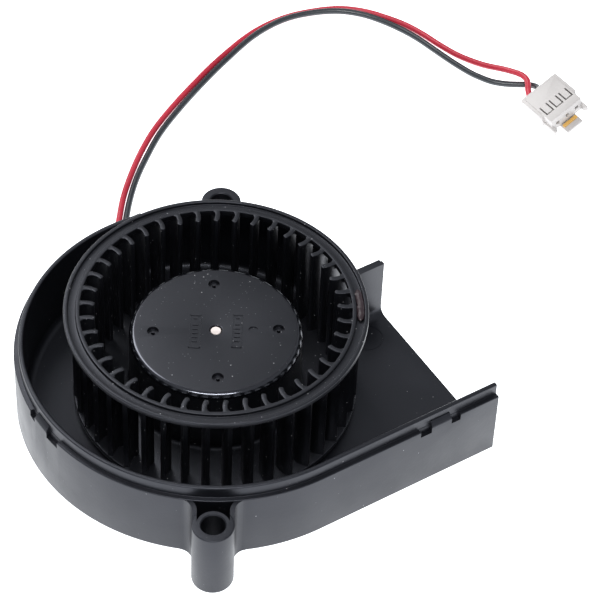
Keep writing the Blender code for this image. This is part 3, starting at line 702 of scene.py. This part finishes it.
def make_connector(materials):
    """The connector with its windows and openings, and an amber strip of painted shade in the gap under its
    latch arm, both where the leads end.
    """
    thick = CONNECTOR_SIZE[2]
    body = connector_body()
    body.data.materials.append(materials["ivory"])
    cuts = []
    for position in range(POSITIONS):
        cuts += window_cutters((position - 1) * PITCH, thick)
    combine(body, cuts, "DIFFERENCE")
    body.data.transform(connector_place())
    place(body, "base", "ivory", "connector_housing")
    # An amber strip between the latch arm and the body: painted shade with a warm glow, standing in for the
    # gap under the arm
    half = LATCH_WIDTH / 2 - 0.25
    strip = rounded_rectangle((-half, GAP_SHADE_SPAN[0]), (half, GAP_SHADE_SPAN[1]), 0.12)
    gap_shade_strip = add_piece("latch_gap_shade", prism(strip, -0.25, 0.18, 0.0, 0.1), materials["amber_gap_shade"])
    gap_shade_strip.data.transform(connector_place())
    place(gap_shade_strip, "base", "ivory")
    return [body, gap_shade_strip]


def scroll_point(degrees):
    """Point of the casing's outer face, whose radius grows from the tongue and then stays the same."""
    share = max(0.0, (SCROLL_FULL - degrees) / (SCROLL_FULL - SCROLL_START))
    return polar(SCROLL_RADIUS - SCROLL_GROWTH * share**GROWTH_POWER, degrees)


def scroll_normal(degrees):
    along = scroll_point(degrees + 0.1) - scroll_point(degrees - 0.1)
    return Vector((along.y, -along.x)).normalized()


def scroll_stations():
    """(point, outward normal) along the wall without its ends, and the tongue wall's outer y."""
    start = scroll_normal(SCROLL_START)
    centre = scroll_point(SCROLL_START) + TONGUE_FILLET * start
    lean = math.degrees(math.atan2(start.y, start.x))
    stations = []
    steps, bends = 14, 130
    for i in range(steps + 1):
        normal = polar(1, 90 + (lean - 90) * i / steps)
        stations.append((centre - TONGUE_FILLET * normal, normal))
    for i in range(1, bends + 1):
        angle = SCROLL_START + (270 - SCROLL_START) * i / bends
        normal = scroll_normal(angle) if angle < SCROLL_FULL else polar(1, angle)
        stations.append((scroll_point(angle), normal))
    return stations, centre.y - TONGUE_FILLET


def wall_section(shrink=0.0):
    """(inset, height) points from the outer bottom edge over the stepped rim to the floor."""
    far = 9.0
    corners = [(far, 0), (0, 0), (0, WALL_TOP), (LEDGE, WALL_TOP), (LEDGE, LIP_TOP), (WALL, LIP_TOP),
               (WALL, FLOOR), (far, FLOOR)]
    radii = [0, BOTTOM_ROUND, EDGE_ROUND, 0.08, LIP_ROUND, LIP_ROUND, FLOOR_FILLET, 0]
    closed = round_profile(corners, radii, 5)
    return inset(closed[::-1], shrink)[::-1][1:-1] if shrink else closed[1:-1]


def scroll_shell():
    """Floor and wall, open at the top and at the outlet, with eased edges all round."""
    middle, tongue_y = scroll_stations()
    eases = [(END_ROUND, 0.0), (0.3 * END_ROUND, 0.3 * END_ROUND), (0.0, END_ROUND)]
    up, down = Vector((0, 1)), Vector((0, -1))
    spots = [(Vector((OUTLET_X - back, tongue_y)), up, shrink) for shrink, back in eases]
    spots += [(point, normal, 0.0) for point, normal in middle]
    spots += [(Vector((OUTLET_X - back, -SCROLL_RADIUS)), down, shrink) for shrink, back in eases[::-1]]
    shape = bmesh.new()
    rows = []
    for point, normal, shrink in spots:
        rows.append([shape.verts.new((*(point - depth * normal), z)) for depth, z in wall_section(shrink)])
    for a, b in zip(rows, rows[1:]):
        for j in range(1, len(a)):
            shape.faces.new((a[j - 1], a[j], b[j], b[j - 1]))
    ends = len(eases) - 1
    for side in (0, -1):
        shape.faces.new([row[side] for row in rows[ends:-ends]])
        for j in range(ends):
            shape.faces.new((rows[j][side], rows[j + 1][side], rows[-2 - j][side], rows[-1 - j][side]))
    shape.faces.new(rows[0] + rows[-1][::-1])
    return shape


def web_edge(wall_radius, inside, start, side):
    """One edge of a boss's web, this far inside its face: from a start radius round to beside the boss.

    Its points are (along, across) the line from the origin to the boss, and side is 1 or -1.
    """
    across = WEB_HALF + BOSS_FILLET
    far = wall_radius - WEB_SINK + BOSS_FILLET
    along = math.sqrt(far**2 - across**2)
    radius = BOSS_FILLET + inside
    bend = math.degrees(math.acos(min(1.0, (far**2 + radius**2 - start**2) / (2 * far * radius))))
    lean = math.degrees(math.atan2(across, along))
    return arc((along, side * across), radius, side * (180 + lean + bend), side * 270, 20)


def beside_boss(boss, points):
    """Points (along, across) the line from the origin to a boss, as places on the casing."""
    along = boss.normalized()
    across = Vector((-along.y, along.x))
    return [u * along + v * across for u, v in points]


def boss_web(boss, wall_radius):
    """Outline that joins a boss to the scroll with a concave fillet on each side."""
    left, right = (web_edge(wall_radius, 0, wall_radius - WEB_SINK, side) for side in (1, -1))
    root = wall_radius - LEDGE
    ends = [(root, right[0].y), *right, (boss.length, -WEB_HALF), (boss.length, WEB_HALF), *left[::-1],
            (root, left[0].y)]
    return beside_boss(boss, ends)


def boss_pocket(boss, wall_radius):
    """Outline of the hollow in a boss's web, between its two thin walls, the scroll and the post."""
    left, right = (web_edge(wall_radius, WEB_WALL, wall_radius + POCKET_GAP, side) for side in (1, -1))
    spread = math.degrees(math.asin((WEB_HALF - WEB_WALL) / POST_RADIUS))
    post = arc((boss.length, 0), POST_RADIUS, 180 + spread, 180 - spread, 16)
    swing = math.degrees(math.atan2(left[0].y, left[0].x))
    back = arc((0, 0), wall_radius + POCKET_GAP, swing, -swing, 8)
    return beside_boss(boss, [*right, *post, *left[::-1], *back[1:-1]])


def boss_post(boss):
    """Round post with eased rims, over a narrow bore that the drill opens up."""
    profile = [(0.8, 0), (BOSS_RADIUS, 0), (BOSS_RADIUS, BOSS_TOP), (0.8, BOSS_TOP)]
    return turned(round_profile(profile, [0, BOTTOM_ROUND, 0.25, 0], 5), 96, boss)


def boss_drill(boss):
    """Cutter for a boss's hole, which widens at both ends."""
    wide = BOSS_HOLE + BOSS_LEAD + 1
    outline = [(wide, -1), (BOSS_HOLE, BOSS_LEAD), (BOSS_HOLE, BOSS_TOP - BOSS_LEAD), (wide, BOSS_TOP + 1)]
    return loft([[(*polar(r, 360 * k / 72, boss), z) for k in range(72)] for r, z in outline])


def snap_cutters():
    """Two notches through the ledge's outer edge beside each catch, at the left and on the long wall."""
    rim, inner = SCROLL_RADIUS + 1, SCROLL_RADIUS - NOTCH_DEPTH
    low = WALL_TOP - NOTCH_HEIGHT
    for start, end in LEFT_NOTCHES:
        yield prism(arc((0, 0), rim, start, end, 8) + arc((0, 0), inner, end, start, 8), low, ABOVE)
    for start, end in LONG_NOTCHES:
        yield box((start, -rim, low), (end, -inner, ABOVE))


def catch(stations):
    """Ridge that stands on the ledge against the lip, with a sloped outer face."""
    low, high, back = WALL_TOP - CATCH_SINK, WALL_TOP + CATCH_RISE, LEDGE + 0.2
    section = [(0.05, low), (0.05, WALL_TOP), (CATCH_SLOPE - 0.1, high - 0.1), (CATCH_SLOPE + 0.05, high),
               (back, high), (back, low)]
    return loft([[(*(point - depth * normal), z) for depth, z in section] for point, normal in stations])


def catches():
    """A catch for the cover's hook at the left, and one on the long wall."""
    start, end = LEFT_CATCH
    headings = [start + (end - start) * i / 8 for i in range(9)]
    yield catch([(polar(SCROLL_RADIUS, a), polar(1, a)) for a in headings])
    yield catch([(Vector((x, -SCROLL_RADIUS)), Vector((0, -1))) for x in LONG_CATCH])


def mould_mark():
    """Cutter for the fine circle that an insert of the mould leaves on the duct's floor."""
    groove = [(-0.08, FLOOR - 0.07), (0.08, FLOOR - 0.07), (0.12, FLOOR + 1), (-0.12, FLOOR + 1)]
    return turned([(MOULD_MARK_RADIUS + across, z) for across, z in groove], 72, MOULD_MARK_AT)


def make_casing(materials):
    shell = add_piece("casing", scroll_shell(), materials["casing_plastic"])
    joined = []
    for boss, wall in ((NEAR_BOSS, SCROLL_RADIUS), (FAR_BOSS, scroll_point(FAR_BOSS_HEADING).length)):
        joined += [prism(boss_web(boss, wall), WEB_LOW, WALL_TOP - 0.1), boss_post(boss)]
    roof = rounded_rectangle((CHANNEL_X - CHANNEL_ROOF_HALF, 11), (CHANNEL_X + CHANNEL_ROOF_HALF, 34), 0.3)
    joined.append(prism(roof, 0.5, CHANNEL_ROOF, 0.0, 0.2))
    joined.append(prism(rounded_rectangle(*EXIT_TAB, 0.3), EXIT_TAB_LOW, WALL_TOP - 0.05, 0.15, 0.2))
    joined += [disc(HUB_SEAT_RADIUS, 0.5, 2.0, 96), *catches()]
    combine(shell, joined, "UNION")
    half, room = CHANNEL_WIDTH / 2, CHANNEL_WIDTH / 2 + 0.3
    cuts = [prism(boss_pocket(NEAR_BOSS, SCROLL_RADIUS), FLOOR, ABOVE), boss_drill(NEAR_BOSS),
            boss_drill(FAR_BOSS), box(*TONGUE_LOW), disc(TUBE_HOLE, -1, 4, 96),
            box((CHANNEL_X - half, CHANNEL_ENDS[0], -1), (CHANNEL_X + half, CHANNEL_ENDS[1], CHANNEL_DEPTH)),
            box((CHANNEL_X - room, LEAD_HOLE[0], -1), (CHANNEL_X + room, LEAD_HOLE[1], 4)),
            mould_mark(), *snap_cutters()]
    combine(shell, cuts, "DIFFERENCE")
    place(shell, "base", "casing_plastic", "housing_shell")


def blade_outline(number, outer, flare=0.0):
    """Section of one forward-curved blade, its hollow side facing the way the wheel turns."""
    heading = 360 * number / BLADES + BLADE_HEADING
    steps = 12
    middle, halves = [], []
    for i in range(steps + 1):
        share = i / steps
        radius = BLADE_TIP + (outer - BLADE_TIP) * share
        bend = BLADE_BOW * (radius - BLADE_BOW_RADIUS) ** 2
        middle.append(polar(radius, heading + math.degrees(bend / radius)))
        root = max(0.0, (radius - RING_INNER + BLADE_FLARE_REACH) / BLADE_FLARE_REACH)
        halves.append(BLADE_THICK / 2 + flare * min(1.0, root) ** 2)
    left, right = [], []
    for i, point in enumerate(middle):
        along = (middle[min(i + 1, steps)] - middle[max(i - 1, 0)]).normalized()
        side = Vector((-along.y, along.x)) * halves[i]
        left.append(point + side)
        right.append(point - side)
    back = (middle[0] - middle[1]).normalized()
    across = Vector((-back.y, back.x))
    tip = []
    for k in range(1, 6):
        swing = math.pi * k / 6
        reach = (abs(math.sin(swing)) ** TIP_FULLNESS) * BLADE_THICK * TIP_REACH
        tip.append(middle[0] + back * reach + across * (math.cos(swing) * BLADE_THICK / 2))
    return [*tip, *left, *right[::-1]]


def joined_meshes(shapes):
    """Several separate bodies in one bmesh."""
    whole = bmesh.new()
    for shape in shapes:
        mesh = bpy.data.meshes.new("part")
        shape.to_mesh(mesh)
        shape.free()
        whole.from_mesh(mesh)
        bpy.data.meshes.remove(mesh)
    return whole


def make_blades(materials):
    """Blades from the back plate into the ring, each with a flared root on the ring's inner wall."""
    shapes = []
    for number in range(BLADES):
        whole = blade_outline(number, BLADE_OUTER)
        root = blade_outline(number, RING_INNER + 0.5, BLADE_FLARE)
        shapes.append(prism(whole, BACK_PLATE[1] - BLADE_BITE, RING_BOTTOM + BLADE_BITE))
        shapes.append(prism(root, RING_BOTTOM + 0.02, RING_TOP - 0.02, 0.0, 0.1))
    blades = add_piece("impeller_blades", joined_meshes(shapes), materials["wheel_plastic"])
    place(blades, "rotor", "wheel_plastic", "impeller_wheel")


def make_ring(materials):
    """Top ring with a groove between two lips."""
    inner, outer = RING_INNER, RING_RADIUS
    groove = RING_TOP - GROOVE_DEPTH
    corners = [(inner, RING_BOTTOM), (outer, RING_BOTTOM), (outer, RING_TOP), (outer - LIP, RING_TOP),
               (outer - LIP, groove), (inner + LIP, groove), (inner + LIP, RING_TOP), (inner, RING_TOP)]
    radii = [0.15, 0.2, 0.22, 0.14, 0.12, 0.12, 0.14, 0.12]
    top_ring = add_piece("impeller_ring", turned(round_profile(corners, radii, 4), RING_SIDES),
                         materials["wheel_plastic"])
    place(top_ring, "rotor", "wheel_plastic", "impeller_wheel")


def hub_cutters():
    """Round dimples with a small pin in each, and the shallow gate mark."""
    floor = HUB_TOP - DIMPLE_DEPTH
    cup = [(NEAR_AXIS, HUB_TOP + 1), (DIMPLE_RADIUS, HUB_TOP + 1), (DIMPLE_RADIUS - 0.05, floor),
           (PIN_RADIUS, floor), (PIN_RADIUS - 0.15, floor + PIN_HEIGHT), (NEAR_AXIS, floor + PIN_HEIGHT)]
    for k in range(DIMPLES):
        yield turned(cup, 48, polar(DIMPLE_PLACE[0], DIMPLE_PLACE[1] + 360 * k / DIMPLES))
    yield disc(GATE_RADIUS, HUB_TOP - GATE_DEPTH, HUB_TOP + 1, 48, GATE_PLACE)


def make_hub(materials):
    """Hub cup with its collar and the back plate, glossy only on the cup's rounded top edge."""
    plate_low, plate_high = BACK_PLATE
    underside = HUB_TOP - HUB_WALL - 0.1
    inner = HUB_RADIUS - HUB_WALL
    corners = [(SHAFT_BORE, HUB_TOP), (HUB_RADIUS, HUB_TOP), (HUB_RADIUS, plate_high),
               (BACK_PLATE_RADIUS, plate_high), (BACK_PLATE_RADIUS, plate_low), (inner, plate_low),
               (inner, underside), (COLLAR_OUTER, underside), (COLLAR_OUTER, COLLAR_LOW),
               (COLLAR_INNER, COLLAR_LOW), (COLLAR_INNER, underside - 0.2), (SHAFT_BORE, underside - 0.2)]
    radii = [0.1, HUB_ROUND, 0.8, 0.2, 0.2, 0.1, 0, 0, 0, 0, 0, 0]
    profile = round_profile(corners, radii, 8)
    hub = add_piece("impeller_hub", turned(profile, HUB_SIDES), materials["hub_plastic"])
    combine(hub, hub_cutters(), "DIFFERENCE")
    hub.data.materials.append(materials["hub_gloss"])
    for face in hub.data.polygons:
        edge = face.normal.z < 0.98 and face.center.z > (HUB_TOP - 2 * HUB_ROUND) * MM
        face.material_index = 1 if edge else 0
    place(hub, "rotor", "wheel_plastic", "impeller_wheel")


def make_hub_marks(materials):
    """Plain raised frames with a few bars on the hub's top, where the mould has its inserts."""
    shapes = []
    turn = Matrix.Rotation(math.radians(MARK_HEADING - 90), 2)
    for centre, width in MARKS:
        x, y, line = width / 2, MARK_LENGTH / 2, MARK_LINE
        boxes = [((-x, -y), (line - x, y)), ((x - line, -y), (x, y)), ((-x, y - line), (x, y)),
                 ((-x, -y), (x, line - y))]
        boxes += [((-0.5, step - 0.11), (0.5, step + 0.11)) for step in MARK_BARS]
        boxes.append(((-0.3, y - 0.95), (0.3, y - 0.6)))
        for (x0, y0), (x1, y1) in boxes:
            corners = [(x0, y0), (x1, y0), (x1, y1), (x0, y1)]
            outline = [Vector(centre) + turn @ Vector(c) for c in corners]
            shapes.append(prism(outline, HUB_TOP - MARK_RAISE, HUB_TOP + MARK_RAISE))
    marks = add_piece("hub_marks", joined_meshes(shapes), materials["hub_plastic"])
    place(marks, "rotor", "wheel_plastic")


def make_shaft(materials):
    """Shaft with bevelled ends."""
    radius, low, top = SHAFT_RADIUS, SHAFT_LOW, SHAFT_TOP
    profile = [(NEAR_AXIS, low), (radius - 0.15, low), (radius, low + 0.15), (radius, top - 0.07),
               (radius - 0.07, top), (NEAR_AXIS, top)]
    shaft = add_piece("motor_shaft", turned(profile, 64), materials["shaft_steel"])
    place(shaft, "rotor", "steel", "shaft")


def make_putty(materials):
    """Lump of balancing putty pressed into the ring's groove."""
    stations, around = 64, 16
    start, end = PUTTY_SPAN
    groove = RING_TOP - GROOVE_DEPTH
    middle = RING_RADIUS - (RING_RADIUS - RING_INNER) / 2
    loops = []
    for i in range(stations + 1):
        share = i / stations
        angle = start + (end - start) * share
        fullness = min(1.0, 4.5 * math.sqrt(max(0.0, share * (1 - share))) / 1.6)
        loop = []
        for k in range(around):
            swing = FULL_TURN * k / around
            c, s = math.cos(swing), math.sin(swing)
            lump = 1 + 0.35 * noise.noise(Vector((angle * 0.55, 2.2 * c, 2.2 * s)))
            wide = PUTTY_WIDE * fullness * lump * c
            tall = PUTTY_TALL * fullness * lump * s
            loop.append((*polar(middle + wide, angle), groove + PUTTY_TALL + tall))
        loops.append(loop)
    putty = add_piece("putty_lump", loft(loops), materials["putty"], 60)
    place(putty, "rotor", "putty", "balance_putty")


def dress_frame(materials):
    """Procedural finishes for the CAD nodes that show as they are."""
    skins = {
        "wire_red": ["lead_red_inner"], "wire_black": ["lead_black_inner"],
        "felt": ["thrust_washer", "oil_washer"], "brass": ["bearing_tube", "shaft_insert"],
        "bronze": ["bearing_lower", "bearing_upper"], "rubber": ["bearing_end_cap"],
        "lamination": ["stator_core"], "spool": ["insulator_lower", "insulator_upper"],
        "copper": ["coil_1", "coil_2", "coil_3", "coil_4"], "board": ["circuit_board"],
        "chip": ["hall_sensor", "driver_chip"], "ceramic": ["capacitor"],
        "tin": ["terminal_red", "terminal_black"], "steel": ["rotor_yoke", "shaft_clip"],
        "magnet": ["rotor_magnet"],
    }
    for skin, nodes in skins.items():
        for node in nodes:
            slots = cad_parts[node].data.materials
            slots.clear()
            slots.append(materials[skin])


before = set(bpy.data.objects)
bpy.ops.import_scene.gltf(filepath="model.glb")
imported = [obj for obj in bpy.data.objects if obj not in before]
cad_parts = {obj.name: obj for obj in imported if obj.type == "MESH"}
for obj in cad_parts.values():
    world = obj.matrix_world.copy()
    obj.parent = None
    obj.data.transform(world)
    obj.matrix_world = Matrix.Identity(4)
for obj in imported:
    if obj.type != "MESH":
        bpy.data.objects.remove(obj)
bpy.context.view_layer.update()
make_camera()
materials = make_materials()
make_lead(materials)
make_lights()
make_floor()
make_casing(materials)
make_blades(materials)
make_ring(materials)
make_hub(materials)
make_hub_marks(materials)
make_shaft(materials)
make_putty(materials)
dress_frame(materials)
